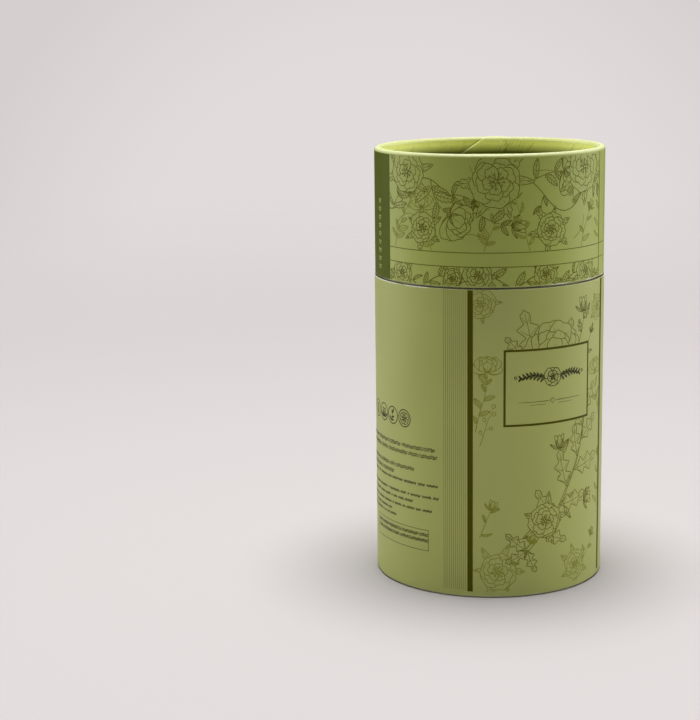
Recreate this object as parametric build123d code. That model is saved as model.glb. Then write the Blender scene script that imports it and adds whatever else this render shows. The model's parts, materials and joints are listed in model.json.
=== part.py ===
from build123d import *
import os
from math import degrees

# A round gift tube box: a base with a fixed inner neck, and a lid that slips over the neck.
# Millimetres. The axis is Z, the foot stands on Z = 0 and the front of the print faces -Y.

# Driving sizes of the whole tube
BASE_DIAMETER = 83.0  # over the printed wrap of the base
TOTAL_HEIGHT = 156.0
SHOULDER_HEIGHT = 110.0  # cut top edge of the base's outer tube
PARTING_GAP = 0.7  # shadow line left open between the lid and the shoulder

# Boards and papers
BASE_BOARD = 1.3  # wound board of the base's outer tube
LID_BOARD = 1.1  # wound board of the lid's tube, a little thinner
NECK_BOARD = 1.0
DISC_BOARD = 1.8  # die-cut board of both end discs
WRAP_PAPER = 0.2  # printed paper, on the outside
PLY_PAPER = 0.15  # plain paper, on the inside and on the neck

# Rolled rims, where a tube's end is folded in and back on itself
RIM_CORNER = 1.2  # outer radius of the fold's two corners, over the wrap
FOLD_SLIT = 0.15  # what stays open between the wall and its folded end
BASE_RECESS = 3.0  # depth of the bottom disc behind the rim
LID_RECESS = 6.2  # depth of the top disc below the rim

# Neck
NECK_HEADROOM = 6.3  # what the neck's mouth stays below the lining of the lid's disc
NECK_EDGE = 0.35  # radius of the board's two corners at the neck's mouth
NECK_TURN_IN = 12.0  # how far the neck's facing is folded down inside

# Glue seam of the printed wraps
SEAM_OVERLAP = 9.0  # width of the overlap, along the circumference
SEAM_BEARING = 144.0  # middle of the overlap, in degrees from the front towards +X

# Clearances
SLIP_CLEARANCE = 0.25  # neck to the bores that it stands in and slides in, on the radius
DISC_CLEARANCE = 0.1  # disc edge to the bore around it, on the radius
LINING_FILM = 0.05  # between the lid's shell and its lining

# Radii, from the outside in
BASE_RADIUS = BASE_DIAMETER / 2
BORE_RADIUS = BASE_RADIUS - WRAP_PAPER - BASE_BOARD  # both outer tubes are wound on one mandrel
LID_RADIUS = BORE_RADIUS + LID_BOARD + WRAP_PAPER
BASE_PLY_RADIUS = BORE_RADIUS - PLY_PAPER
LID_PLY_RADIUS = BORE_RADIUS - LINING_FILM - PLY_PAPER
NECK_FACE_RADIUS = LID_PLY_RADIUS - SLIP_CLEARANCE
NECK_RADIUS = NECK_FACE_RADIUS - PLY_PAPER
NECK_BORE_RADIUS = NECK_RADIUS - NECK_BOARD
NECK_LINING_RADIUS = NECK_BORE_RADIUS - PLY_PAPER
DISC_RADIUS = BORE_RADIUS - DISC_CLEARANCE

# Heights, from the floor up
BOTTOM_FACING_TOP = BASE_RECESS + WRAP_PAPER
BOTTOM_DISC_TOP = BOTTOM_FACING_TOP + DISC_BOARD
BOTTOM_LINING_TOP = BOTTOM_DISC_TOP + PLY_PAPER
LID_MOUTH = SHOULDER_HEIGHT + PARTING_GAP
LID_LENGTH = TOTAL_HEIGHT - LID_MOUTH
TOP_FACING_TOP = TOTAL_HEIGHT - LID_RECESS
TOP_DISC_TOP = TOP_FACING_TOP - WRAP_PAPER
TOP_DISC_UNDERSIDE = TOP_DISC_TOP - DISC_BOARD
TOP_LINING_TOP = TOP_DISC_UNDERSIDE - LINING_FILM
TOP_LINING_UNDERSIDE = TOP_LINING_TOP - PLY_PAPER
NECK_MOUTH = TOP_LINING_UNDERSIDE - NECK_HEADROOM


def quarter(centre, radius, start):
    """Quarter turn about centre, a (radius, height) pair, from the angle start in degrees."""
    return CenterArc(centre, radius, start, 90)


def turned(edges):
    """Solid of revolution about Z of a closed outline of (radius, height) edges."""
    outline = make_face(Plane.XZ * Wire(edges))
    return revolve(outline, Axis.Z, 360)


def ring(outer, inner, low, high):
    """Plain tube between two radii and two heights."""
    tube = Cylinder(outer, high - low, align=(Align.CENTER, Align.CENTER, Align.MIN))
    bore = Cylinder(inner, high - low, align=(Align.CENTER, Align.CENTER, Align.MIN))
    return Pos(0, 0, low) * (tube - bore)


def plate(radius, low, high):
    """Round disc between two heights."""
    return Pos(0, 0, low) * Cylinder(radius, high - low, align=(Align.CENTER, Align.CENTER, Align.MIN))


def turned_over(shape):
    """A piece made with its rolled end on the floor, turned over to be a lid."""
    return Pos(0, 0, TOTAL_HEIGHT) * Rot(180, 0, 0) * shape


def rolled_tube(radius, board, length, fold_height):
    """Board tube whose lower end is folded inwards and back up, with the foot at the wrap's thickness."""
    foot = WRAP_PAPER
    corner = RIM_CORNER - WRAP_PAPER
    wall_inside = radius - board
    fold_outside = wall_inside - FOLD_SLIT
    fold_inside = fold_outside - board
    slit_middle = wall_inside - FOLD_SLIT / 2
    slit_foot = foot + board + FOLD_SLIT / 2
    edges = [
        Line((radius, length), (radius, foot + corner)),
        quarter((radius - corner, foot + corner), corner, -90),
        Line((radius - corner, foot), (fold_inside + corner, foot)),
        quarter((fold_inside + corner, foot + corner), corner, 180),
        Line((fold_inside, foot + corner), (fold_inside, fold_height)),
        Line((fold_inside, fold_height), (fold_outside, fold_height)),
        Line((fold_outside, fold_height), (fold_outside, slit_foot)),
        CenterArc((slit_middle, slit_foot), FOLD_SLIT / 2, 180, 180),
        Line((wall_inside, slit_foot), (wall_inside, length)),
        Line((wall_inside, length), (radius, length)),
    ]
    return turned(edges)


def rolled_wrap(radius, board, length, fold_height):
    """Printed paper that covers a rolled tube outside, round the rim and up the inside of the fold."""
    rim_inside = radius - 2 * (WRAP_PAPER + board) - FOLD_SLIT
    corner = RIM_CORNER
    under = RIM_CORNER - WRAP_PAPER
    edges = [
        Line((radius, length), (radius, corner)),
        quarter((radius - corner, corner), corner, -90),
        Line((radius - corner, 0), (rim_inside + corner, 0)),
        quarter((rim_inside + corner, corner), corner, 180),
        Line((rim_inside, corner), (rim_inside, fold_height)),
        Line((rim_inside, fold_height), (rim_inside + WRAP_PAPER, fold_height)),
        Line((rim_inside + WRAP_PAPER, fold_height), (rim_inside + WRAP_PAPER, corner)),
        quarter((rim_inside + corner, corner), under, 180),
        Line((rim_inside + corner, WRAP_PAPER), (radius - corner, WRAP_PAPER)),
        quarter((radius - corner, corner), under, -90),
        Line((radius - WRAP_PAPER, corner), (radius - WRAP_PAPER, length)),
        Line((radius - WRAP_PAPER, length), (radius, length)),
    ]
    return turned(edges)


def seam_strip(radius, low, high):
    """The wrap's free end, lying over its start: a strip one paper thick on the wall."""
    sweep = degrees(SEAM_OVERLAP / radius)
    face = radius + WRAP_PAPER
    edges = Polyline((radius, low), (face, low), (face, high), (radius, high), close=True)
    strip = revolve(make_face(Plane.XZ * edges), Axis.Z, sweep)
    return Rot(0, 0, SEAM_BEARING - 90 - sweep / 2) * strip


# Base
def base_outer_tube():
    return rolled_tube(BASE_RADIUS - WRAP_PAPER, BASE_BOARD, SHOULDER_HEIGHT, BASE_RECESS)


def base_printed_wrap():
    wrap = rolled_wrap(BASE_RADIUS, BASE_BOARD, SHOULDER_HEIGHT, BASE_RECESS)
    return wrap + seam_strip(BASE_RADIUS, RIM_CORNER, SHOULDER_HEIGHT)


def base_inner_ply():
    return ring(BORE_RADIUS, BASE_PLY_RADIUS, BOTTOM_LINING_TOP, SHOULDER_HEIGHT)


def bottom_disc_facing():
    return plate(DISC_RADIUS, BASE_RECESS, BOTTOM_FACING_TOP)


def bottom_disc():
    return plate(DISC_RADIUS, BOTTOM_FACING_TOP, BOTTOM_DISC_TOP)


def bottom_disc_lining():
    return plate(DISC_RADIUS, BOTTOM_DISC_TOP, BOTTOM_LINING_TOP)


# Neck
def neck_tube():
    """Board tube that stands on the bottom disc, with its mouth rounded for the facing."""
    top = NECK_MOUTH - PLY_PAPER
    edges = [
        Line((NECK_RADIUS, BOTTOM_LINING_TOP), (NECK_RADIUS, top - NECK_EDGE)),
        quarter((NECK_RADIUS - NECK_EDGE, top - NECK_EDGE), NECK_EDGE, 0),
        Line((NECK_RADIUS - NECK_EDGE, top), (NECK_BORE_RADIUS + NECK_EDGE, top)),
        quarter((NECK_BORE_RADIUS + NECK_EDGE, top - NECK_EDGE), NECK_EDGE, 90),
        Line((NECK_BORE_RADIUS, top - NECK_EDGE), (NECK_BORE_RADIUS, BOTTOM_LINING_TOP)),
        Line((NECK_BORE_RADIUS, BOTTOM_LINING_TOP), (NECK_RADIUS, BOTTOM_LINING_TOP)),
    ]
    return turned(edges)


def neck_facing():
    """Plain paper on the neck's outside, folded over its mouth and down inside."""
    edge = NECK_MOUTH - PLY_PAPER - NECK_EDGE
    over = NECK_EDGE + PLY_PAPER
    fold_end = NECK_MOUTH - NECK_TURN_IN
    top = NECK_MOUTH - PLY_PAPER
    edges = [
        Line((NECK_FACE_RADIUS, BOTTOM_LINING_TOP), (NECK_FACE_RADIUS, edge)),
        quarter((NECK_RADIUS - NECK_EDGE, edge), over, 0),
        Line((NECK_RADIUS - NECK_EDGE, NECK_MOUTH), (NECK_BORE_RADIUS + NECK_EDGE, NECK_MOUTH)),
        quarter((NECK_BORE_RADIUS + NECK_EDGE, edge), over, 90),
        Line((NECK_LINING_RADIUS, edge), (NECK_LINING_RADIUS, fold_end)),
        Line((NECK_LINING_RADIUS, fold_end), (NECK_BORE_RADIUS, fold_end)),
        Line((NECK_BORE_RADIUS, fold_end), (NECK_BORE_RADIUS, edge)),
        quarter((NECK_BORE_RADIUS + NECK_EDGE, edge), NECK_EDGE, 90),
        Line((NECK_BORE_RADIUS + NECK_EDGE, top), (NECK_RADIUS - NECK_EDGE, top)),
        quarter((NECK_RADIUS - NECK_EDGE, edge), NECK_EDGE, 0),
        Line((NECK_RADIUS, edge), (NECK_RADIUS, BOTTOM_LINING_TOP)),
        Line((NECK_RADIUS, BOTTOM_LINING_TOP), (NECK_FACE_RADIUS, BOTTOM_LINING_TOP)),
    ]
    return turned(edges)


def neck_lining():
    return ring(NECK_BORE_RADIUS, NECK_LINING_RADIUS, BOTTOM_LINING_TOP, NECK_MOUTH - NECK_TURN_IN)


# Lid shell
def lid_outer_tube():
    return turned_over(rolled_tube(LID_RADIUS - WRAP_PAPER, LID_BOARD, LID_LENGTH, LID_RECESS))


def lid_printed_wrap():
    wrap = turned_over(rolled_wrap(LID_RADIUS, LID_BOARD, LID_LENGTH, LID_RECESS))
    return wrap + seam_strip(LID_RADIUS, LID_MOUTH, TOTAL_HEIGHT - RIM_CORNER)


def top_disc_facing():
    return plate(DISC_RADIUS, TOP_DISC_TOP, TOP_FACING_TOP)


def top_disc():
    return plate(DISC_RADIUS, TOP_DISC_UNDERSIDE, TOP_DISC_TOP)


# Lid lining
def lid_inner_ply():
    return ring(BORE_RADIUS - LINING_FILM, LID_PLY_RADIUS, LID_MOUTH, TOP_LINING_TOP)


def top_disc_lining():
    return plate(LID_PLY_RADIUS, TOP_LINING_UNDERSIDE, TOP_LINING_TOP)


PIECES = [
    base_outer_tube,
    base_printed_wrap,
    base_inner_ply,
    bottom_disc_facing,
    bottom_disc,
    bottom_disc_lining,
    neck_tube,
    neck_facing,
    neck_lining,
    lid_outer_tube,
    lid_printed_wrap,
    top_disc_facing,
    top_disc,
    lid_inner_ply,
    top_disc_lining,
]


def main():
    os.makedirs("parts", exist_ok=True)
    for piece in PIECES:
        export_step(piece(), f"parts/{piece.__name__}.step")


main()
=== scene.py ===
# %% [markdown]
# A round gift tube box, dressed in Blender.
# The CAD model already holds every piece at its real size, so nothing here moves or resizes one.
# What is added is the look: paper that wraps, creases and wears, an inked botanical print, and soft light.
# The order is camera, printed paper, the two wraps, the drawing on them, the boards, then floor and light.

# %% Load the frame
import json
import math
import random

import bmesh
import bpy
import numpy as np
from mathutils import Euler, Matrix, Vector

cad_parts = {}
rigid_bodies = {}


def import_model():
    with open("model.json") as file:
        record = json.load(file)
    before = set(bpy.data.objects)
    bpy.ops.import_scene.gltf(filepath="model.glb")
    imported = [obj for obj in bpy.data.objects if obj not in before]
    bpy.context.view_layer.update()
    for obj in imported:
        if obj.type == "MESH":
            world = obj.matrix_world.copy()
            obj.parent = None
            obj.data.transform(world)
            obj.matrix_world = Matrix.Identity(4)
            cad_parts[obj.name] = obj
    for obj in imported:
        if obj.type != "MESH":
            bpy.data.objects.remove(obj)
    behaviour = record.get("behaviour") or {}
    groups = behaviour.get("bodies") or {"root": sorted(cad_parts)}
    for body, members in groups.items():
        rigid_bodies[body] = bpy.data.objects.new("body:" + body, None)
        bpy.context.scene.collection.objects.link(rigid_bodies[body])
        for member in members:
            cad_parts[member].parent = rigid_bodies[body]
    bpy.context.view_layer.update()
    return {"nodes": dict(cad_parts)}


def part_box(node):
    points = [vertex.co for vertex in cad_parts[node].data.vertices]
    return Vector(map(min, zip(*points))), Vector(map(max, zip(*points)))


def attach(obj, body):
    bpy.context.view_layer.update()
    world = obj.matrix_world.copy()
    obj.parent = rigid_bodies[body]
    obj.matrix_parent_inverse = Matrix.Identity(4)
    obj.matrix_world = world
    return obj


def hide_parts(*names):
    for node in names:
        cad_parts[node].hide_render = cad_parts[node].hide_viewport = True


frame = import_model()

# %% [markdown]
# Every size that another piece depends on is read from the frame, in metres.
# A tube is round about Z, so half of its box along X is its radius.
# Bearings are measured round the tube in degrees from the front, -Y, towards +X.

# %% Sizes read from the frame
MM = 0.001


def radius_of(node):
    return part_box(node)[1].x


BASE_RADIUS = radius_of("base_printed_wrap")
LID_RADIUS = radius_of("lid_printed_wrap")
BORE_RADIUS = radius_of("base_inner_ply")
WRAP_PAPER = BASE_RADIUS - radius_of("base_outer_tube")
BASE_BOARD = radius_of("base_outer_tube") - BORE_RADIUS
LID_BOARD = radius_of("lid_outer_tube") - BORE_RADIUS
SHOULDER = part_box("base_printed_wrap")[1].z
LID_MOUTH, LID_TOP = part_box("lid_printed_wrap")[0].z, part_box("lid_printed_wrap")[1].z
TOP_DISC_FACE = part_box("top_disc_facing")[1].z
BOTTOM_DISC_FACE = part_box("bottom_disc_facing")[0].z
for label, size in (("base across", 2 * BASE_RADIUS), ("lid across", 2 * LID_RADIUS), ("height", LID_TOP)):
    print(f"{label}: {size / MM:.1f} mm")

# %% [markdown]
# The camera stands where the photographer stood: a long lens from a little above the lid.
# Its distance, height and tilt were worked out from the tube's two sides and the ellipses of its rims.
# It also rolls by under a degree, as a camera held by hand does.
# The lens is given for a 36 mm wide sensor along the picture's long side.

# %% Camera
CAMERA_BEARING = -32.3
CAMERA_DISTANCE = 0.6533
CAMERA_HEIGHT = 0.2068
CAMERA_PITCH = 11.18
CAMERA_PAN = 4.47
CAMERA_ROLL = -0.74
CAMERA_LENS = 90.47


def bearing_point(bearing, radius, height):
    """A point by its bearing in degrees, its distance from the axis and its height."""
    a = math.radians(bearing)
    return Vector((radius * math.sin(a), -radius * math.cos(a), height))


def placed(name, data, location=(0, 0, 0), rotation=(0, 0, 0)):
    """A new object in the scene. Only the camera and the lights are placed away from the origin."""
    made = bpy.data.objects.new(name, data)
    made.location, made.rotation_euler = location, rotation
    bpy.context.scene.collection.objects.link(made)
    return made


tripod = bearing_point(CAMERA_BEARING, CAMERA_DISTANCE, CAMERA_HEIGHT)
aim = Euler((math.radians(90 - CAMERA_PITCH), 0, math.radians(CAMERA_BEARING + CAMERA_PAN))).to_matrix()
roll = Matrix.Rotation(math.radians(CAMERA_ROLL), 3, "Z")
camera = placed("camera", bpy.data.cameras.new("camera"), tripod, (aim @ roll).to_euler())
camera.data.lens, camera.data.clip_start = CAMERA_LENS, 0.01
bpy.context.scene.camera = camera
bpy.context.scene.view_settings.view_transform = "Standard"
print("camera at", [round(c, 3) for c in camera.location])

# %% [markdown]
# Materials are small node trees, and a few helpers keep them short. One adds a node and sets its
# inputs, one starts a Principled material, and one lays colours over each other like coats of paint.
# A number that is the same all over goes on the shader's own socket.


# %% Material helpers
def add(tree, kind, inputs=(), **settings):
    """Adds a node, sets its properties, and sets or links its inputs by name or number."""
    node = tree.nodes.new(kind)
    for key, value in settings.items():
        setattr(node, key, value)
    for key, value in dict(inputs).items():
        if isinstance(value, bpy.types.NodeSocket):
            tree.links.new(value, node.inputs[key])
        else:
            node.inputs[key].default_value = value
    return node


def put(tree, kind, inputs=(), output=0, **settings):
    """Adds a node and hands back one of its outputs, the first unless another is named."""
    return add(tree, kind, inputs, **settings).outputs[output]


def worked(tree, operation, first, second=0.0):
    return put(tree, "ShaderNodeMath", {0: first, 1: second}, operation=operation)


def vector_worked(tree, operation, first, second=(0, 0, 0), output="Vector"):
    return put(tree, "ShaderNodeVectorMath", {0: first, 1: second}, output, operation=operation)


def new_material(name, roughness, **sockets):
    """A Principled material, its tree, its shader, and the place on the piece that patterns read."""
    material = bpy.data.materials.new(name)
    material.use_nodes = True
    tree = material.node_tree
    shader = tree.nodes["Principled BSDF"]
    for key, value in dict(sockets, Roughness=roughness).items():
        shader.inputs[key.replace("_", " ")].default_value = value
    return material, tree, shader, put(tree, "ShaderNodeTexCoord", output="Object")


def noise(tree, vector, scale, detail=3.0, rough=0.5):
    inputs = {"Vector": vector, "Scale": scale, "Detail": detail, "Roughness": rough}
    return put(tree, "ShaderNodeTexNoise", inputs)


def spread(tree, value, low, high, to_low=0.0, to_high=1.0):
    """Maps low..high of a value to to_low..to_high, held at both ends."""
    return put(tree, "ShaderNodeMapRange", {0: value, 1: low, 2: high, 3: to_low, 4: to_high})


def mixed(tree, share, first, second):
    return put(tree, "ShaderNodeMix", {0: share, 6: first, 7: second}, 2, data_type="RGBA")


def coated(tree, ground, *coats):
    """Lays coats on a ground. A coat is a value, where it starts and is full, its strength and its colour."""
    for value, start, full, strength, colour in coats:
        ground = mixed(tree, spread(tree, value, start, full, 0.0, strength), ground, colour)
    return ground


def surfaced(tree, shader, colour, grain, rough=(), depth=0.04 * MM, strength=0.5):
    """Links the colour, and lets a grain emboss the surface and roughen it between two values."""
    tree.links.new(colour, shader.inputs["Base Color"])
    if rough:
        tree.links.new(spread(tree, grain, 0.3, 0.7, *rough), shader.inputs["Roughness"])
    bump = {"Height": grain, "Distance": depth, "Strength": strength}
    tree.links.new(put(tree, "ShaderNodeBump", bump), shader.inputs["Normal"])


def rgb(red, green, blue):
    """A colour as a picture editor names it, 0 to 255, turned into the linear light that shaders use."""
    parts = [c / 255 for c in (red, green, blue)]
    return (*[c / 12.92 if c <= 0.04045 else ((c + 0.055) / 1.055) ** 2.4 for c in parts], 1.0)


def toned(colour, share):
    return (*[c * share for c in colour[:3]], 1.0)


# %% [markdown]
# Printed paper. The real sheet is olive green art paper with a matt film on it.
# Three things keep it from looking like plastic: slow drifts of colour from the press,
# fibre grain that the film softens but doesn't hide, and pale wear where the paper is folded or cut.
# Where the sheet is rolled over the rim it is stretched, and so paler, and its pale wear there is also a
# painted highlight.
# The fold that is turned in is painted a brighter green, which stands in for the light that falls into the
# recess, and painted shade darkens it towards the corner by the disc. Its creases get a painted highlight on
# their ridges and painted shade in their valleys, and a painted shadow of the flap lies along the step of the
# overlap.
# All of it comes from attributes that the mesh carries.

# %% Printed paper
LID_GREEN = rgb(155, 165, 77)
BASE_GREEN = rgb(160, 166, 90)
# Painted shade: the discs' paper is darker than the walls' to offset the strong light that falls on the lid's
# disc from above.
SHADED_DISC_GREEN = rgb(146, 150, 96)
STRETCHED_GREEN = rgb(178, 182, 132)
ROLLED_GREEN = rgb(176, 181, 116)
# Painted light: the fold turned into the recess is a brighter green than the wall, standing in for light that
# falls into it.
LIT_FOLD_GREEN = rgb(222, 227, 116)
# Painted shade: the fold darkens to this towards the corner by the disc.
CORNER_SHADE_GREEN = rgb(78, 84, 8)
# Painted shade in the valleys of the creases.
VALLEY_SHADE_GREEN = rgb(96, 102, 26)
# Pale paper: real wear at cut edges, and also a painted highlight on the rim and on crease ridges.
PALE_PAPER = rgb(222, 222, 196)
DRIFT_SCALE = 28.0
FIBRE_SCALE = 900.0
MARKS = ("turned", "wear_and_highlight", "crease", "depth")


def press_marks(tree, place):
    """The two patterns of every printed sheet: drifts of the press and grain of the fibre."""
    return noise(tree, place, DRIFT_SCALE, 2.0), noise(tree, place, FIBRE_SCALE, 4.0, 0.6)


def printed_paper(name, green):
    material, tree, shader, place = new_material(name, 0.5, Specular_IOR_Level=0.3)
    drift, grain = press_marks(tree, place)
    turned, wear_and_highlight, crease, depth = (
        put(tree, "ShaderNodeAttribute", output="Fac", attribute_name=mark) for mark in MARKS
    )
    paler = toned(green, 1.05)
    wall = coated(tree, toned(green, 0.96), (drift, 0.3, 0.7, 1.0, paler), (grain, 0.35, 0.75, 0.16, paler))
    fold = coated(
        tree, STRETCHED_GREEN,
        (turned, 0.2, 0.4, 1.0, ROLLED_GREEN),
        # painted light: the turned fold gets the brighter green
        (turned, 0.48, 0.6, 1.0, LIT_FOLD_GREEN),
        (grain, 0.4, 0.7, 0.25, PALE_PAPER),
        # crease ridges get a painted highlight, their valleys painted shade
        (crease, 0.15, 1.0, 0.28, PALE_PAPER),
        (crease, -0.15, -1.0, 0.5, VALLEY_SHADE_GREEN),
        # painted shade in the corner where the fold meets the disc
        (depth, 0.42, 0.9, 1.0, CORNER_SHADE_GREEN),
    )
    sheet = coated(tree, wall, (turned, 0.0, 0.5, 1.0, fold))
    # The wear mark is real wear at cut edges, and on the rim also a painted highlight.
    worn_and_lit = worked(tree, "MULTIPLY", wear_and_highlight, spread(tree, grain, 0.3, 0.6, 0.5, 1.0))
    surfaced(tree, shader, mixed(tree, worn_and_lit, sheet, PALE_PAPER), grain, (0.44, 0.58))
    return material


lid_paper = printed_paper("lid_printed_paper", LID_GREEN)
base_paper = printed_paper("base_printed_paper", BASE_GREEN)
shaded_disc_paper = printed_paper("disc_printed_paper_shaded", SHADED_DISC_GREEN)
print("printed papers:", lid_paper.name, base_paper.name, shaded_disc_paper.name)

# %% [markdown]
# The wraps are turned shapes, so they are built like a potter would: one outline, swept round the axis.
# The outline follows the paper from its cut mouth, down the wall, round the rolled rim and up the fold.
# A second, plainer row of points a paper's thickness behind it closes the sheet.
# Relief is added along the outline's own normal, so a crease stands out of the wall it is in.

# %% Outline of a rolled wrap
RIM_CORNER = 1.2 * MM
FOLD_SLIT = 0.15 * MM
WALL_STEP = 3.5 * MM
EDGE_BAND = 0.9 * MM
CORNER_STEPS = 10
FOLD_STEP = 0.25 * MM


def arc_points(centre, start):
    """Points and normals of a quarter turn, clockwise from start, without its first point."""
    made = []
    for i in range(1, CORNER_STEPS + 1):
        a = math.radians(start - 90 * i / CORNER_STEPS)
        normal = (math.cos(a), math.sin(a))
        made.append((centre[0] + RIM_CORNER * normal[0], centre[1] + RIM_CORNER * normal[1], *normal))
    return made


def run_points(start, end, normal, step):
    """Points from start to end, both included, no further apart than step."""
    count = max(1, math.ceil(math.dist(start, end) / step))
    return [(*[a + (b - a) * i / count for a, b in zip(start, end)], *normal) for i in range(count + 1)]


def rolled_outline(radius, board, length, fold):
    """Face of the paper as (radius, height, normal, normal) rows, with the rolled end at height zero."""
    inside = radius - 2 * (WRAP_PAPER + board) - FOLD_SLIT
    rows = run_points((radius, length), (radius, length - EDGE_BAND), (1, 0), FOLD_STEP)
    rows += run_points((radius, length - EDGE_BAND), (radius, RIM_CORNER + EDGE_BAND), (1, 0), WALL_STEP)[1:]
    rows += run_points((radius, RIM_CORNER + EDGE_BAND), (radius, RIM_CORNER), (1, 0), FOLD_STEP)[1:]
    rows += arc_points((radius - RIM_CORNER, RIM_CORNER), 0)
    rows += run_points((radius - RIM_CORNER, 0), (inside + RIM_CORNER, 0), (0, -1), FOLD_STEP)[1:]
    rows += arc_points((inside + RIM_CORNER, RIM_CORNER), -90)
    rows += run_points((inside, RIM_CORNER), (inside, fold), (-1, 0), FOLD_STEP)[1:]
    return np.array(rows)


base_outline = rolled_outline(BASE_RADIUS, BASE_BOARD, SHOULDER, BOTTOM_DISC_FACE)
print(len(base_outline), "points along the base's outline")

# %% [markdown]
# Relief is one function of where a point is: its bearing and how far along the outline it lies.
# The glued overlap is a step one paper high, sharp at the free end and soft over the hidden one.
# Past the rim it slants, because the sheet was folded in by hand before the disc went on.
# The paper turned inwards is too long for its smaller circle, so it gathers in slanting pleats.

# %% Relief of the paper
SEAM_MIDDLE = 144.0
SEAM_HALF = math.degrees(4.5 * MM / BASE_RADIUS)
SEAM_START, SEAM_EDGE = SEAM_MIDDLE - SEAM_HALF, SEAM_MIDDLE + SEAM_HALF
SEAM_SLANT = 14.0
SOFT_STEP = 3.0
STEP_WIDTH = 0.35
FOLDED_STEP = 1.1
FOLD_LAP = 1.9
FOLD_SLANT = 6.0
PLEATS = 110
PLEAT_LIFT = 0.14 * MM
PLEAT_END = 0.25
ROLL_LIFT = 0.035 * MM
ROLL_WAVES = 9


def turned_from(at, bearing):
    """How many degrees a bearing is past another one, from -180 to 180."""
    return (bearing - at + 180) % 360 - 180


def step_up(x):
    """Smooth step from 0 at x = 0 to 1 at x = 1."""
    x = np.clip(x, 0, 1)
    return x * x * (3 - 2 * x)


def seam_relief(bearing, fold_share):
    sharp = (SEAM_EDGE + SEAM_SLANT * fold_share - bearing) / (STEP_WIDTH + FOLDED_STEP * fold_share)
    lap = step_up((bearing - SEAM_START) / SOFT_STEP) * step_up(sharp)
    return WRAP_PAPER * (1 + FOLD_LAP * fold_share) * lap


def roll_relief(bearing, dice):
    """Slow swells round the rim, from the board's own unevenness."""
    made = np.zeros_like(bearing)
    for _ in range(ROLL_WAVES):
        count, phase = dice.randint(5, 46), dice.uniform(0, 2 * math.pi)
        made += np.cos(np.radians(bearing) * count + phase) / ROLL_WAVES
    return ROLL_LIFT * made


def pleat_relief(bearing, fold_share, dice):
    """Slanting pleats, each with its own bearing, width and lift, and its own start and end on the fold."""
    made = np.zeros_like(bearing)
    for _ in range(PLEATS):
        at, slant = dice.uniform(0, 360), FOLD_SLANT + dice.uniform(-3.5, 3.0)
        width, lift = dice.uniform(0.3, 0.9), dice.uniform(0.25, 1.0)
        first, last = dice.uniform(-0.05, 0.3), dice.uniform(0.6, 1.3)
        off = turned_from(at, bearing - slant * fold_share)
        along = step_up((fold_share - first) / PLEAT_END) * step_up((last - fold_share) / PLEAT_END)
        made = np.maximum(made, lift * np.exp(-np.abs(off / width) ** 1.5) * along)
    return PLEAT_LIFT * made


print(f"glued overlap: {2 * SEAM_HALF:.1f} degrees wide")

# %% [markdown]
# Columns go round the tube, rows along the outline. The seam's slanted edge is a sharp thing on a
# square grid, so the columns near it lean along with it instead of being cut into steps.

# %% Build a wrap
COLUMNS = 1080
HIDDEN_EVERY = 4
# The rolled rim's pale band is partly wear and partly a painted highlight.
WEAR_AND_HIGHLIGHT_START = 0.9 * MM
WEAR_AND_HIGHLIGHT_END = 1.4 * MM
RIM_WEAR_AND_HIGHLIGHT = 0.42
CREASE_SCALE = 0.04 * MM
# Painted shadow of the overlap's flap beside its step, laid into the crease mark.
FLAP_SHADOW = 0.9
FLAP_SHADOW_RAMP, FLAP_SHADOW_REACH = 0.4, 1.6
LEAN_REACH = 30.0
CUT_REACH = 0.35 * MM
EDGE_WEAR = 0.12


def add_attribute(mesh, name, kind, values):
    attribute = mesh.attributes.new(name, kind, "POINT")
    field = "vector" if kind == "FLOAT_VECTOR" else "value"
    numbers = np.asarray(values, dtype=np.int32 if kind == "INT" else np.float32)
    attribute.data.foreach_set(field, numbers.ravel())


def closed_sheet(name, points, faces, material):
    """A closed skin as an object, with its faces turned outwards."""
    mesh = bpy.data.meshes.new(name)
    mesh.from_pydata(points, [], faces)
    made = bmesh.new()
    made.from_mesh(mesh)
    bmesh.ops.recalc_face_normals(made, faces=made.faces)
    made.to_mesh(mesh)
    made.free()
    mesh.materials.append(material)
    return placed(name, mesh)


def all_round(values):
    """Gives every column the value of its row."""
    return np.repeat(values[:, None], COLUMNS, 1)


def lean(bearing, fold_share):
    """Slants the columns of the fold as its creases are, and beside the seam's edge as that edge is."""
    near = 1 - step_up(np.abs(bearing - SEAM_EDGE) / LEAN_REACH)
    return bearing + (FOLD_SLANT + (SEAM_SLANT - FOLD_SLANT) * near) * fold_share


def chip_share(bearing, chips):
    """How far the print is rubbed off a cut edge: each chip is a bearing and a half width in degrees."""
    made = np.zeros_like(bearing)
    for at, half in chips:
        made = np.maximum(made, step_up((half - np.abs(turned_from(at, bearing))) / (0.4 * half)))
    return made


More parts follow.
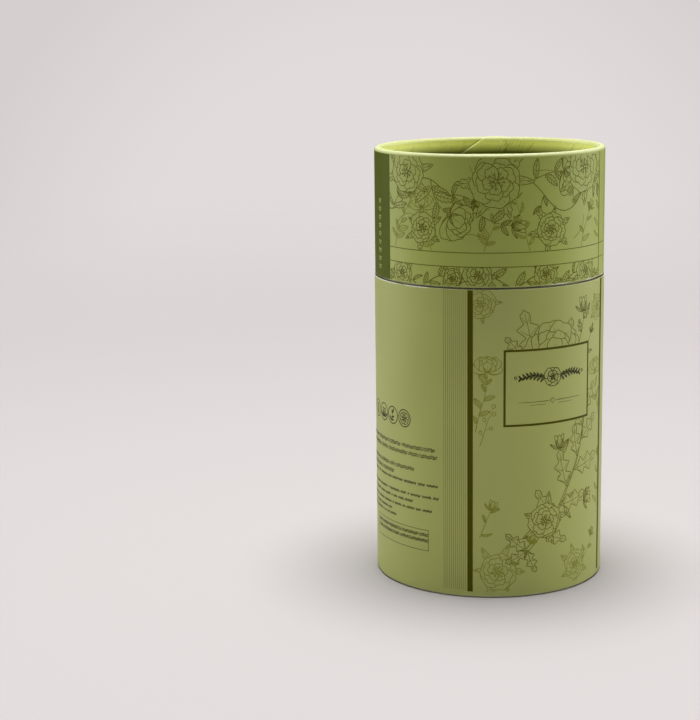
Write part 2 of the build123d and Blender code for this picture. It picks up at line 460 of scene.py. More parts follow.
def rolled_wrap(name, radius, board, length, fold, seed, upside_down, material, chips):
    """The sheet as a mesh: relief first, then its points and faces, then the marks that its finish reads."""
    rows = rolled_outline(radius, board, length, fold)
    along = np.concatenate([[0.0], np.cumsum(np.hypot(np.diff(rows[:, 0]), np.diff(rows[:, 1])))])
    rim_start, rim_end = length - RIM_CORNER, along[-1] - (fold - RIM_CORNER)
    fold_share = np.clip((along - rim_end + RIM_CORNER) / (along[-1] - rim_end + RIM_CORNER), 0, 1)
    rim_share = np.clip((along - rim_start) / RIM_CORNER, 0, 1)
    dice = random.Random(seed)
    column = np.arange(COLUMNS) * 360.0 / COLUMNS
    bearing, share = lean(column[None, :], fold_share[:, None]), all_round(fold_share)
    relief = seam_relief(bearing, share) + roll_relief(bearing, dice) * rim_share[:, None]
    relief = relief + pleat_relief(bearing, share, dice) * step_up(share * 3)

    hidden = rows[::-HIDDEN_EVERY]
    hidden = hidden if np.allclose(hidden[-1], rows[0]) else np.vstack([hidden, rows[:1]])
    behind = hidden[:, :2] - WRAP_PAPER * hidden[:, 2:]
    r, h = (
        np.vstack([rows[:, k, None] + relief * rows[:, k + 2, None], all_round(behind[:, k])])
        for k in (0, 1)
    )
    angle = np.radians(np.vstack([bearing, np.tile(column, (len(hidden), 1))]))
    z = LID_TOP - h if upside_down else h
    points = np.stack([r * np.sin(angle), -r * np.cos(angle), z], -1).reshape(-1, 3)
    index = np.arange(len(points)).reshape(-1, COLUMNS)
    after, beside = np.roll(index, -1, 0), np.roll(index, -1, 1)
    faces = np.stack([index, beside, np.roll(after, -1, 1), after], -1).reshape(-1, 4)
    wrap = closed_sheet(name, points.tolist(), faces.tolist(), material)
    wrap.data.shade_smooth()

    # The rim band: partly wear and partly a painted highlight over the rolled rim.
    rim = step_up((along - rim_start) / WEAR_AND_HIGHLIGHT_START) * step_up((rim_end - RIM_CORNER - along) / WEAR_AND_HIGHLIGHT_END + 0.2)
    cut = np.exp(-((along / CUT_REACH) ** 3))
    turned = 0.5 * step_up((along - rim_start) / (rim_end - rim_start)) + 0.5 * step_up(fold_share * 1.1)
    # The bend of the relief is the crease mark: the finish paints a highlight on its ridges and shade in its
    # valleys.
    bend = 2 * relief - np.roll(relief, 1, 1) - np.roll(relief, -1, 1)
    # A painted shadow of the flap, just past the overlap's step on the fold, fading away from it.
    past_lap = bearing - SEAM_EDGE - SEAM_SLANT * share - FOLDED_STEP * share
    flap_shadow = FLAP_SHADOW * step_up(past_lap / FLAP_SHADOW_RAMP + 1) * np.exp(-np.clip(past_lap, 0, 90) / FLAP_SHADOW_REACH)
    worn_and_lit = RIM_WEAR_AND_HIGHLIGHT * rim[:, None] + cut[:, None] * (EDGE_WEAR + chip_share(column, chips)[None, :])
    for mark, front, back in (
        ("wear_and_highlight", worn_and_lit, 1.0),
        ("turned", all_round(turned), 0.0),
        ("depth", share, 0.0),
        ("crease", (np.clip(bend / CREASE_SCALE, -1, 1) - flap_shadow) * step_up(fold_share * 4)[:, None], 0.0),
    ):
        add_attribute(wrap.data, mark, "FLOAT", np.vstack([front, np.full((len(hidden), COLUMNS), back)]))
    print(name, len(faces), "faces")
    return wrap


base_wrap = rolled_wrap(
    "base_wrap", BASE_RADIUS, BASE_BOARD, SHOULDER, BOTTOM_DISC_FACE, 5, False, base_paper,
    ((-116, 14), (-96, 16), (-70, 9), (52, 7), (120, 12), (205, 8))
)
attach(base_wrap, "base")
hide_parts("base_printed_wrap")

lid_wrap = rolled_wrap(
    "lid_wrap", LID_RADIUS, LID_BOARD, LID_TOP - LID_MOUTH, LID_TOP - TOP_DISC_FACE, 9, True, lid_paper,
    ((3.5, 6), (27, 5), (43, 4), (150, 9), (-160, 5))
)
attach(lid_wrap, "lid")
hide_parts("lid_printed_wrap")

# %% [markdown]
# The print. On the real box a botanical drawing in darker green ink covers half of the sheet.
# This one is drawn afresh, from a few leaf, petal and bud shapes made by formulas.
# It is composed as an illustrator cuts paper: each shape is a card that hides what lies under it,
# and its lines are inked on top. A vine then passes behind a blossom by itself, with no drawing of
# the hidden part to be trimmed by hand. Shapes are one unit long, from (0, 0) up to (0, 1).

# %% Leaf shapes
OUTLINE_PEN = 0.25
RIB_PEN = 0.22
VEIN_PEN = 0.15
FINE_PEN = 0.10
LOBE_FOOT, LOBE_PITCH, LOBE_CREST = 0.07, 0.31, 0.7


def shares(count, first=0.0, last=1.0):
    """Evenly spaced numbers from first to last, both included."""
    return [first + (last - first) * i / (count - 1) for i in range(count)]


def leaf(width, bend, teeth=0.0, pairs=4, cut=0.0):
    """Outline and veins of a leaf: its middle rib bends, and its edge may be toothed or cut into lobes."""

    def rib(t):
        return bend * math.sin(math.pi * t) * (1 - 0.4 * t), t

    def half(t):
        body = 2.35 * t**0.72 * (1 - t) ** 0.86
        bite = teeth * ((t * 6) % 1.0 - 0.5) * min(1, 6 * t) * min(1, 5 * (1 - t))
        u = (t - LOBE_FOOT) / LOBE_PITCH % 1.0
        lobe = (u / LOBE_CREST) ** 1.4 if u < LOBE_CREST else ((1 - u) / (1 - LOBE_CREST)) ** 0.8
        return width * (body + bite) * (1 - cut * (1 - lobe))

    side = shares(44 if cut else 30)
    left = [(rib(t)[0] - half(t), rib(t)[1] - 0.10 * teeth * half(t)) for t in side]
    right = [(rib(t)[0] + half(t) * 0.92, rib(t)[1]) for t in reversed(side[1:-1])]
    lines = [([rib(t) for t in shares(16, 0.0, 0.92)], RIB_PEN, VEIN_PEN)]
    feet = shares(pairs, 0.16, 0.78) if pairs and not cut else (0.12, 0.43, 0.70)[:pairs]
    for foot in feet:
        for hand in (-1, 1):
            tip = min(0.96, foot + 0.15)
            start, end = rib(foot), (rib(tip)[0] + hand * half(tip) * 0.72, tip)
            middle = ((start[0] + end[0]) / 2 + hand * 0.015, (start[1] + end[1]) / 2 - 0.012)
            lines.append((bowed(start, middle, end), VEIN_PEN, FINE_PEN))
    return left + right, lines


def bowed(start, middle, end, count=7):
    """Points along a curve that is drawn from start to end and pulled towards middle."""
    made = []
    for t in shares(count):
        a, b, c = (1 - t) ** 2, 2 * t * (1 - t), t * t
        made.append(tuple(a * start[i] + b * middle[i] + c * end[i] for i in (0, 1)))
    return made


print("points round a broad leaf:", len(leaf(0.20, 0.05)[0]))

# %% Petal, bud and seed shapes
def petal(width, notch, phase, veins=3):
    """A broad petal with a wavy far edge."""
    outline = []
    for a in shares(57, -0.5 * math.pi, 1.5 * math.pi)[:-1]:
        far = step_up((math.sin(a) + 0.1) / 0.9)
        dent = notch * math.exp(-(((a - math.pi / 2) / 0.2) ** 2))
        wave = 1 + 0.045 * math.cos(6 * a + phase) * far - dent
        across = width * math.cos(a) * (1 + 0.36 * math.sin(a)) * wave
        outline.append((across, 0.5 + 0.5 * math.sin(a) * wave))
    lines = []
    for k in shares(veins, -1.0, 1.0) if veins > 1 else (0.15,):
        top = 0.74 - 0.14 * abs(k)
        foot, end = (k * width * 0.10, 0.16), (k * width * 0.55, top)
        lines.append((bowed(foot, (k * width * 0.26, 0.5), end, 9), VEIN_PEN, FINE_PEN))
        short = (k * width * 0.62, top + 0.10), (k * width * 0.68, top + 0.17)
        lines.append((bowed(short[0], short[0], short[1], 4), FINE_PEN, FINE_PEN))
    return outline, lines


def bud_petal(width, bend):
    """A closed petal, broad at its foot, with a line near each side."""
    outline = []
    for a in shares(45, -0.5 * math.pi, 1.5 * math.pi)[:-1]:
        y = 0.5 + 0.5 * math.sin(a)
        outline.append((width * math.cos(a) * (1 - 0.35 * y) * (1.15 if y < 0.5 else 1.0) + bend * y * y, y))
    lines = []
    for k in (-0.9, 0.9):
        rise = [(width * k * (0.15 + 0.2 * t), 0.15 + 0.55 * t) for t in shares(9)]
        lines.append(([(x + bend * y * y, y) for x, y in rise], VEIN_PEN, FINE_PEN))
    return outline, lines


def ring(radius, centre, count):
    around = shares(count + 1, 0, 2 * math.pi)[:-1]
    return [(radius * math.cos(a), centre + radius * math.sin(a)) for a in around]


def leaflet():
    """A tiny plain leaf of few points, for rows that hold hundreds."""
    around = shares(11, 0, 2 * math.pi)[:-1]
    return [(0.15 * math.sin(a) * (1 + 0.3 * math.cos(a)), 0.5 - 0.5 * math.cos(a)) for a in around], []


def seed():
    glint = [(0.28 * math.cos(a), 0.5 + 0.28 * math.sin(a)) for a in shares(5, 0.3, 1.6)]
    return ring(0.5, 0.5, 18), [(glint, VEIN_PEN, VEIN_PEN)]


def stamen():
    """A thread with a grain of pollen at its end; only the grain hides what is under it."""
    thread = [(0.05 * math.sin(2.2 * t), 0.78 * t) for t in shares(7)]
    return ring(0.11, 0.9, 10), [(thread, VEIN_PEN, VEIN_PEN)]


MOTIFS = {
    "bud_petal": bud_petal(0.26, 0.0),
    "bud_side": bud_petal(0.22, 0.12),
    "leaf_broad": leaf(0.20, 0.05),
    "leaf_curved": leaf(0.15, 0.14, pairs=3),
    "leaf_lobed": leaf(0.36, 0.05, pairs=3, cut=0.68),
    "leaf_slim": leaf(0.105, 0.09, pairs=0),
    "leaf_toothed": leaf(0.235, -0.04, 0.36, 5),
    "leaflet": leaflet(),
    "petal_round": petal(0.46, 0.10, 2.0, 5),
    "petal_small": petal(0.36, 0.02, 1.0, 1),
    "petal_wavy": petal(0.40, 0.05, 0.4, 3),
    "plate": ([(0, 0), (1, 0), (1, 1), (0, 1)], []),
    "seed": seed(),
    "stamen": stamen(),
}
KINDS = sorted(MOTIFS)
print("motifs:", ", ".join(KINDS))

# %% [markdown]
# A drawing is a list of things laid down one after the other, the last on top.
# Lengths are in millimetres: x runs round the tube from the front, y is the height above the foot.
# Turns are in degrees, clockwise from straight up, as a compass has them.
# Sprigs, buds and blossoms are small functions, so a whole branch takes one line below.

# %% A drawing and what it is made of
BROAD = ("leaf_broad", "leaf_curved")
TOOTHED = ("leaf_toothed", "leaf_toothed", "leaf_broad")
LOBED = ("leaf_lobed",)
STEM_STEP = 0.3
SWAY_LENGTH = 3.2


def walk(x, y, heading, reach=STEM_STEP):
    """Where the pen gets to from (x, y) when it goes so far along a compass heading."""
    return x + reach * math.sin(math.radians(heading)), y + reach * math.cos(math.radians(heading))


def spot_on(path, share):
    """The point and heading at a share of a path's length."""
    return path[int(share * (len(path) - 1))]


class Drawing:
    def __init__(self, seed_number, layer=0):
        self.dice = random.Random(seed_number)
        self.things = []
        self.layer = layer

    def cut_out(self, kind, x, y, turn, size, wide=1.0):
        self.things.append((KINDS.index(kind), (x, y), turn, (size * wide, size), self.layer))

    def line(self, points, first, last):
        self.things.append((-1, points, first, last, self.layer))

    def plate(self, left, low, right, high):
        """A bare card, which hides everything laid down before it."""
        self.things.append((KINDS.index("plate"), (left, low), 0.0, (right - left, high - low), self.layer))

    def path(self, x, y, heading, length, curl, sway=0.0):
        """Points with headings along a stem that curls by so many degrees per millimetre."""
        made, phase = [], self.dice.uniform(0, 2 * math.pi)
        for i in range(max(2, int(length / STEM_STEP)) + 1):
            made.append((x, y, heading))
            heading += (curl + sway * math.sin(phase + i * STEM_STEP / SWAY_LENGTH)) * STEM_STEP
            x, y = walk(x, y, heading)
        return made

    def stem(self, path, first=0.34, last=0.16):
        self.line([(x, y) for x, y, _ in path], first, last)

    def twin_stem(self, path, wide):
        """A thick stem drawn by its two sides, which run together at the tip."""
        for hand in (-0.5, 0.5):
            side = []
            for i, (x, y, heading) in enumerate(path):
                off, a = hand * wide * (1 - i / len(path)), math.radians(heading)
                side.append((x + off * math.cos(a), y - off * math.sin(a)))
            self.line(side, OUTLINE_PEN, RIB_PEN)

    def sepals(self, x, y, turn, size, off, wide):
        """A pair of slim leaves that hold a bud or a blossom from both sides."""
        for hand in (-1, 1):
            self.cut_out("leaf_slim", x, y, turn + hand * off, size, hand * wide)

    def bud(self, x, y, turn, size):
        self.sepals(x, y, turn, size * 0.9, 62, 1.2)
        self.cut_out("bud_side", x, y, turn - 13, size, -1)
        self.cut_out("bud_side", x, y, turn + 13, size, 1)
        self.cut_out("bud_petal", x, y, turn, size * 0.92)
        self.sepals(x, y, turn, size * 0.62, 24, 1.5)

    def side_blossom(self, x, y, turn, size):
        self.sepals(x, y, turn, size * 0.75, 96, 1.3)
        for off in (-68, 68, -40, 40, -14, 14):
            self.cut_out("petal_wavy", x, y, turn + off, size * self.dice.uniform(0.92, 1.08), 0.9)
        for off in (-30, 31, -11, 12):
            self.cut_out("petal_small", x, y, turn + off, size * self.dice.uniform(0.76, 0.88), 0.75)
        for off in (-44, 44, 0):
            self.cut_out("petal_small", x, y, turn + off, size * 0.62 * self.dice.uniform(0.92, 1.08), 1.15)
        self.sepals(x, y, turn, size * 0.36, 42, 1.9)

    def blossom(self, x, y, turn, size, rings=((7, 0.50), (6, 0.39), (5, 0.27)), stamens=9):
        """Rings of petals, the widest first, then the stamens and the heart."""
        for level, (count, reach) in enumerate(rings):
            kind = "petal_round" if level == 0 else "petal_wavy"
            for i in range(count):
                off = turn + 31 * level + 360 * i / count + self.dice.uniform(-6, 6)
                self.cut_out(kind, x, y, off, size * reach * self.dice.uniform(0.9, 1.08), 1.08)
        for i in range(stamens):
            off = turn + 360 * i / stamens + self.dice.uniform(-9, 9)
            self.cut_out("stamen", x, y, off, size * 0.16 * self.dice.uniform(0.8, 1.12))
        self.cut_out("seed", x, y - 0.035 * size, 0, size * 0.07)

    def tip(self, kind, x, y, turn, size, leaves):
        if kind == "leaf":
            self.cut_out(leaves[0], x, y, turn, size * 0.62)
        elif kind == "bud":
            self.bud(x, y, turn, size * 0.62)
        else:
            self.side_blossom(x, y, turn, size * 0.95)

    def sprig(self, x, y, heading, length, curl, size, leaves=BROAD, tip="leaf", pitch=2.6, thick=0.32):
        """A stem with leaves of the given size on both sides, one every pitch, and a tip."""
        path = self.path(x, y, heading, length, curl, 1.6)
        self.stem(path, thick)
        hand = self.dice.choice((-1, 1))
        count = max(2, round(length * 0.8 / pitch))
        for share in shares(count, 0.14, 0.92):
            share = min(1.0, max(0.0, share + self.dice.uniform(-0.3, 0.3) / count))
            px, py, ahead = spot_on(path, share)
            for side in (hand, -hand) if self.dice.random() < 0.3 else (hand,):
                reach = size * (1 - 0.4 * share) * self.dice.uniform(0.6, 1.15)
                lean_out = (58 - 24 * share) * self.dice.uniform(0.75, 1.25)
                self.cut_out(self.dice.choice(leaves), px, py, ahead + side * lean_out, reach, side)
            hand = -hand
        self.tip(tip, *path[-1], size, leaves)

    def tendril(self, x, y, heading, length, hand):
        """A thread that curls up tighter and tighter."""
        path = []
        for i in range(int(length / STEM_STEP)):
            path.append((x, y))
            heading += hand * (3.0 + 26.0 * (i * STEM_STEP / length) ** 2) * STEM_STEP * 9.0 / length
            x, y = walk(x, y, heading)
        self.line(path, 0.2, 0.12)

    def berries(self, x, y, heading, length, curl, count, size):
        path = self.path(x, y, heading, length, curl, 2.0)
        self.stem(path, 0.26, 0.14)
        hand = self.dice.choice((-1, 1))
        for share in shares(count, 0.3, 1.0):
            px, py, ahead = spot_on(path, share)
            turn = ahead + (0 if share == 1.0 else hand * self.dice.uniform(30, 55))
            reach = size * self.dice.uniform(0.9, 1.5)
            end = walk(px, py, turn, reach)
            self.line([(px, py), end], 0.16, 0.14)
            self.cut_out("seed", *end, turn, size * self.dice.uniform(0.85, 1.1))
            hand = -hand


print("kinds of leaf on a sprig:", len(set(BROAD + TOOTHED + LOBED)))

# %% [markdown]
# Geometry Nodes turn the list into ink. The start mesh holds a loose vertex for each cut-out,
# with its motif, turn and size as attributes, and an edge chain for each free line.
# The tree sets a copy of the motif on each vertex, at a height that says how late it was laid down.
# Then it looks up from each point of each line: where a card lies overhead, the point goes.
# What is left becomes curves, the curves become flat bars of ink, and the flat page is bent
# round the tube. The bars are real geometry, so the lines stay sharp however near the camera comes.

# %% Motif cards
RANK_RISE = 0.00001


def motif_card(name, outline, lines):
    """A card with pen 0, and the motif's lines with their pen width in millimetres at each point."""
    points, pens, edges = [(x, y, 0.0) for x, y in outline], [0.0] * len(outline), []
    if name != "plate":
        lines = [(outline + outline[:1], OUTLINE_PEN, OUTLINE_PEN)] + lines
    for line, first, last in lines:
        start = len(points)
        points += [(x, y, 0.0) for x, y in line]
        pens += shares(len(line), first, last)
        edges += [(i, i + 1) for i in range(start, len(points) - 1)]
    mesh = bpy.data.meshes.new(name)
    mesh.from_pydata(points, edges, [range(len(outline))])
    mesh.update(calc_edges=True)
    add_attribute(mesh, "pen", "FLOAT", pens)
    return bpy.data.objects.new(name, mesh)


motif_box = bpy.data.collections.new("motifs")
for kind in KINDS:
    motif_box.objects.link(motif_card(kind, *MOTIFS[kind]))


# %% Start mesh of a drawing
def page(name, drawing):
    """Vertices and edge chains of a drawing, with everything the tree needs to know as attributes."""
    points, edges, kinds, turns, reaches, pens, layers = [], [], [], [], [], [], []
    for rank, (kind, where, *more) in enumerate(drawing.things):
        spots = where if kind < 0 else [where]
        start = len(points)
        points += [(x * MM, y * MM, rank * RANK_RISE) for x, y in spots]
        if kind < 0:
            first, last, layer = more
            edges += [(i, i + 1) for i in range(start, len(points) - 1)]
            pens += shares(len(spots), first, last)
            turn, reach = 0.0, (0.0, 0.0)
        else:
            turn, reach, layer = more
            pens += [0.0]
        kinds += [kind] * len(spots)
        turns += [-math.radians(turn)] * len(spots)
        reaches += [(reach[0] * MM, reach[1] * MM, MM)] * len(spots)
        layers += [layer] * len(spots)
    mesh = bpy.data.meshes.new(name)
    mesh.from_pydata(points, edges, [])
    add_attribute(mesh, "kind", "INT", kinds)
    add_attribute(mesh, "turn", "FLOAT", turns)
    add_attribute(mesh, "reach", "FLOAT_VECTOR", reaches)
    add_attribute(mesh, "pen", "FLOAT", pens)
    add_attribute(mesh, "layer", "INT", layers)
    print(f"{name}: {len(drawing.things)} things laid down")
    return mesh


# %% Helpers for Geometry Nodes
SOCKETS = {int: "NodeSocketInt", float: "NodeSocketFloat"}


def node_group(name, **sizes):
    """A Geometry Nodes tree with geometry in and out, a material, and an input for each named size."""
    tree = bpy.data.node_groups.new(name, "GeometryNodeTree")
    face = tree.interface
    face.new_socket("Geometry", in_out="INPUT", socket_type="NodeSocketGeometry")
    face.new_socket("Material", in_out="INPUT", socket_type="NodeSocketMaterial")
    for label, value in sizes.items():
        face.new_socket(label, in_out="INPUT", socket_type=SOCKETS[type(value)]).default_value = value
    face.new_socket("Geometry", in_out="OUTPUT", socket_type="NodeSocketGeometry")
    return tree, tree.nodes.new("NodeGroupInput").outputs


def carried(tree, name, kind="FLOAT"):
    """Reads a named attribute that the geometry carries."""
    node = add(tree, "GeometryNodeInputNamedAttribute", {"Name": name}, data_type=kind)
    return next(s for s in node.outputs if s.name == "Attribute" and s.enabled)


def combined(tree, **axes):
    return put(tree, "ShaderNodeCombineXYZ", axes)


def realized(tree, instances):
    return put(tree, "GeometryNodeRealizeInstances", {"Geometry": instances})


def parted(tree, geometry, chosen):
    """Splits geometry by its points into what is chosen and the rest."""
    inputs = {"Geometry": geometry, "Selection": chosen}
    split = add(tree, "GeometryNodeSeparateGeometry", inputs, domain="POINT")
    return split.outputs["Selection"], split.outputs["Inverted"]


def grown(name, tree, start, body, material, **values):
    """Runs a tree on a start mesh, keeps the result as a plain mesh and lets it ride on a body."""
    piece = placed(name, start)
    modifier = piece.modifiers.new("nodes", "NODES")
    modifier.node_group = tree
    values["Material"] = material
    for socket in tree.interface.items_tree:
        if socket.in_out == "INPUT" and socket.name in values:
            modifier[socket.identifier] = values[socket.name]
    done = piece.evaluated_get(bpy.context.evaluated_depsgraph_get())
    plain = bpy.data.meshes.new_from_object(done)
    piece.modifiers.clear()
    piece.data = plain
    plain.name = name
    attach(piece, body)
    triangles = sum(len(face.vertices) - 2 for face in plain.polygons)
    print(f"{name}: {len(plain.vertices)} points, {triangles} triangles")


# %% Bars of ink, bent round the tube or laid on a disc
INK_RISE = 0.012 * MM
NIB_HEIGHT = 0.2


def inked(tree, curves, pen, given):
    """Ends a tree: sweeps curves into flat bars as wide as the pen, in millimetres, and bends the page."""
    nib = put(tree, "GeometryNodeCurvePrimitiveQuadrilateral", {"Width": 1.0, "Height": NIB_HEIGHT})
    bars = put(tree, "GeometryNodeCurveToMesh", {
        "Curve": put(tree, "GeometryNodeSetCurveNormal", {"Curve": curves}, mode="Z_UP"),
        "Profile Curve": nib,
        "Scale": worked(tree, "MULTIPLY", pen, MM),
        "Fill Caps": True,
    })
    flat = add(tree, "ShaderNodeSeparateXYZ", {0: put(tree, "GeometryNodeInputPosition")}).outputs
    angle = worked(tree, "DIVIDE", flat["X"], given["Radius"])
    rise = worked(tree, "MULTIPLY", worked(tree, "SIGN", flat["Z"]), given["Rise"])
    from_axis, height = worked(tree, "ADD", given["Radius"], rise), flat["Y"]
    if "Face Height" in given:
        from_axis, height = flat["Y"], worked(tree, "ADD", given["Face Height"], rise)
    east = worked(tree, "MULTIPLY", from_axis, worked(tree, "SINE", angle))
    south = worked(tree, "MULTIPLY", from_axis, worked(tree, "COSINE", angle))
    bent = combined(tree, X=east, Y=worked(tree, "MULTIPLY", south, -1.0), Z=height)
    whole = realized(tree, put(tree, "GeometryNodeSetPosition", {"Geometry": bars, "Position": bent}))
    painted = put(tree, "GeometryNodeSetMaterial", {"Geometry": whole, "Material": given["Material"]})
    add(tree, "NodeGroupOutput", {"Geometry": painted})


print(f"ink stands {INK_RISE / MM:.3f} mm out of the paper and goes as deep into it")


# %% The tree that prints a drawing
def print_tree(name, **sizes):
    """Deals the motifs onto their spots, hides what lies under a card, and inks what is left of one layer."""
    tree, given = node_group(name, Layer=0, Rise=INK_RISE, **sizes)
    is_line = worked(tree, "LESS_THAN", carried(tree, "kind", "INT"), -0.5)
    free_lines, spots = parted(tree, given["Geometry"], is_line)
    motifs = {"Collection": motif_box, "Separate Children": True, "Reset Children": True}
    turn = combined(tree, Z=carried(tree, "turn"))
    dealt = put(tree, "GeometryNodeInstanceOnPoints", {
        "Points": put(tree, "GeometryNodeRemoveAttribute", {"Geometry": spots, "Name": "pen"}),
        "Instance": put(tree, "GeometryNodeCollectionInfo", motifs),
        "Pick Instance": True,
        "Instance Index": carried(tree, "kind", "INT"),
        "Rotation": put(tree, "FunctionNodeEulerToRotation", {0: turn}),
        "Scale": carried(tree, "reach", "FLOAT_VECTOR"),
    })
    has_pen = worked(tree, "GREATER_THAN", carried(tree, "pen"), 0.001)
    motif_lines, cards = parted(tree, realized(tree, dealt), has_pen)
    lines = add(tree, "GeometryNodeJoinGeometry")
    for some in (free_lines, motif_lines):
        tree.links.new(some, lines.inputs["Geometry"])
    place = put(tree, "GeometryNodeInputPosition")
    covered = put(tree, "GeometryNodeRaycast", {
        "Target Geometry": cards,
        "Source Position": vector_worked(tree, "ADD", place, (0, 0, RANK_RISE / 2)),
        "Ray Direction": (0, 0, 1),
        "Ray Length": 1.0,
    }, "Is Hit")
    layers = {2: carried(tree, "layer", "INT"), 3: given["Layer"]}
    off_layer = put(tree, "FunctionNodeCompare", layers, data_type="INT", operation="NOT_EQUAL")
    gone = put(tree, "FunctionNodeBooleanMath", {0: covered, 1: off_layer}, operation="OR")
    left_over = {"Geometry": lines.outputs["Geometry"], "Selection": gone}
    seen = put(tree, "GeometryNodeDeleteGeometry", left_over, domain="POINT")
    curves = put(tree, "GeometryNodeMeshToCurve", {"Mesh": seen})
    pressed = vector_worked(tree, "MULTIPLY", place, (1, 1, 0))
    level = put(tree, "GeometryNodeSetPosition", {"Geometry": curves, "Position": pressed})
    inked(tree, level, carried(tree, "pen"), given)
    return tree


wall_print = print_tree("wall_print", Radius=LID_RADIUS)
print("nodes in the wall print:", len(wall_print.nodes))

# %% [markdown]
# The compositions. Faint plants come first, because they lie behind, then the main branch in full ink.
# Each layer is printed in an ink of its own: faint, full, and two darker ones for borders and ornaments.
# Plates at the end clear the label and the bare bands.

# %% Posies
FAINT, FULL, DARK, BLACK = 0, 1, 2, 3


def posy(drawing, x, y, turn, size, leaves=6, kinds=TOOTHED):
    """A blossom on a rosette of leaves that stick out from under it."""
    for i in range(leaves):
        off = turn + 360 * i / leaves + drawing.dice.uniform(-14, 14)
        reach = size * drawing.dice.uniform(0.66, 0.84)
        drawing.cut_out(drawing.dice.choice(kinds), x, y, off, reach, drawing.dice.choice((-1, 1)) * 0.8)
    drawing.blossom(x, y, turn, size)


print("layers of ink:", BLACK + 1)

# %% Base: the flowering branch behind the label
PANEL_LEFT, PANEL_RIGHT = -28.85, 28.2
STRIPE_WIDTH = 1.95
STRIPE_LOW, STRIPE_TOP = 2.2, 109.8
BRANCH_TOP = 110.0
LABEL = (-17.9, 62.2, 17.9, 88.6)
LABEL_PEN = 0.78
LEVEL_STEP = 0.8


def base_drawing():
    d = Drawing(11)
    d.sprig(-26.5, 22, 20, 11, 1.0, 6, BROAD, "bud")
    d.sprig(-28.0, 60, 12, 22, -0.5, 6, TOOTHED, "side")
    d.berries(-26.5, 55, 24, 13, -0.8, 5, 1.2)
    d.sprig(27.4, 26, -12, 20, 0.9, 5.5, BROAD, "bud", 3.6)
    d.sprig(28.2, 60, -22, 18, 1.2, 5.5, TOOTHED, "side", 3.6)
    posy(d, -20.0, 9.5, 20, 13)
    d.sprig(-16.0, 12, 52, 11, -2.5, 5, BROAD, "bud")
    posy(d, 11.5, 8.5, -10, 11)
    d.sprig(15.0, 9, 62, 11, -3.0, 5, TOOTHED, "bud")
    posy(d, -26.0, 105.0, 0, 10, 4)
    posy(d, 25.0, 100.0, 50, 9, 4)
    d.layer = FULL
    trunk = d.path(-9.5, 17.0, 46, 60, -0.70, 1.0)
    d.twin_stem(trunk, 1.1)
    for share, off, *sprig in (
        (0.36, 84, 12, -3.0, 8.5, BROAD, "bud", 4.5),
        (0.50, -64, 13, 2.0, 8.5, TOOTHED, "bud", 4.5),
    ):
        x, y, ahead = spot_on(trunk, share)
        d.sprig(x, y, ahead + off, *sprig)
    for share, off, size in (
        (0.0, -165, 9.0), (0.0, -98, 10.0), (0.0, 112, 9.0),
        (0.14, 70, 11.5), (0.26, -76, 12.5), (0.33, 46, 13.5),
        (0.45, -44, 14.5), (0.56, 50, 15.0), (0.64, -30, 12.0),
        (0.74, 36, 12.5), (0.82, -46, 12.0), (0.92, 20, 11.0),
    ):
        x, y, ahead = spot_on(trunk, share)
        d.cut_out("leaf_lobed", x, y, ahead + off, size, math.copysign(0.95, off))
    posy(d, -2.5, 27.0, 15, 13.0, 5)
    d.tendril(-9.0, 22.0, 250, 10, 1)
    d.sprig(10.0, 84, 24, 17, -1.5, 9.0, LOBED, "bud", 5.0)
    d.sprig(15.0, 86, 58, 8, -3.0, 5.5, BROAD, "leaf")
    for x, turn, size in ((-12.0, -40, 9.0), (-8.5, -10, 16.5), (-6.5, 24, 11.0), (6.5, 8, 12.0)):
        d.cut_out("leaf_lobed", x, 86.5, turn, size)
    d.side_blossom(0.5, 85.0, 4, 12.5)
    d.layer = DARK
    left, low, right, high = LABEL
    d.plate(*LABEL)
    frame_line(d, *LABEL, LABEL_PEN)
    edge_plates(d, PANEL_LEFT, PANEL_RIGHT, STRIPE_LOW, BRANCH_TOP)
    d.layer = BLACK
    label_ornament(d, (left + right) / 2, (low + high) / 2)
    return d


def upright(x, low, high):
    return [(x, low), (x, high)]


def level_line(x0, x1, y):
    """A line round the tube, with points close enough together to bend with it."""
    return [(x, y) for x in shares(max(2, int(abs(x1 - x0) / LEVEL_STEP)), x0, x1)]


def frame_line(drawing, left, low, right, high, pen):
    """A square-cornered border: level bars that run past the upright ones."""
    for y in (low, high):
        drawing.line(level_line(left - pen / 2, right + pen / 2, y), pen, pen)
    for x in (left, right):
        drawing.line(upright(x, low + pen / 2, high - pen / 2), pen, pen)


def edge_plates(drawing, left, right, low, high, wide=30.0):
    """Bare cards round a window, which trim whatever grows out of it."""
    drawing.plate(left - wide, low - wide, left, high + wide)
    drawing.plate(right, low - wide, right + wide, high + wide)
    drawing.plate(left - wide, low - wide, right + wide, low)
    drawing.plate(left - wide, high, right + wide, high + wide)


def label_ornament(drawing, x, y):
    """A small blossom between two mirrored sprays, over a thin rule with a lozenge."""
    for hand in (-1, 1):
        for i in range(7):
            off, rise = 2.9 + 1.45 * i, 3.2 + 0.9 * math.sin(0.5 * i)
            for up in (-1, 1):
                turn, size = hand * (90 - up * 38), 2.5 - 0.13 * i
                drawing.cut_out("leaf_curved", x + hand * off, y + rise, turn, size, hand * up * 1.25)
        spray = [(x + hand * (2.0 + 0.3 * k), y + 3.2 + 0.9 * math.sin(0.1 * k)) for k in range(38)]
        drawing.line(spray, 0.24, 0.16)
        drawing.cut_out("seed", x + hand * 13.6, y + 3.6, hand * 80, 0.9)
        drawing.line(level_line(x + hand * 1.7, x + hand * 13.0, y - 5.2), 0.22, 0.12)
        drawing.line(level_line(x + hand * 2.6, x + hand * 9.0, y - 6.3), 0.14, 0.10)
    drawing.blossom(x, y + 3.2, 0, 7.0, ((6, 0.5), (5, 0.33)), 5)
    lozenge = [(-1.1, -5.2), (0, -4.3), (1.1, -5.2), (0, -6.1), (-1.1, -5.2)]
    drawing.line([(x + px, y + py) for px, py in lozenge], 0.2, 0.2)


base_art = base_drawing()
print("base drawing:", len(base_art.things), "things")

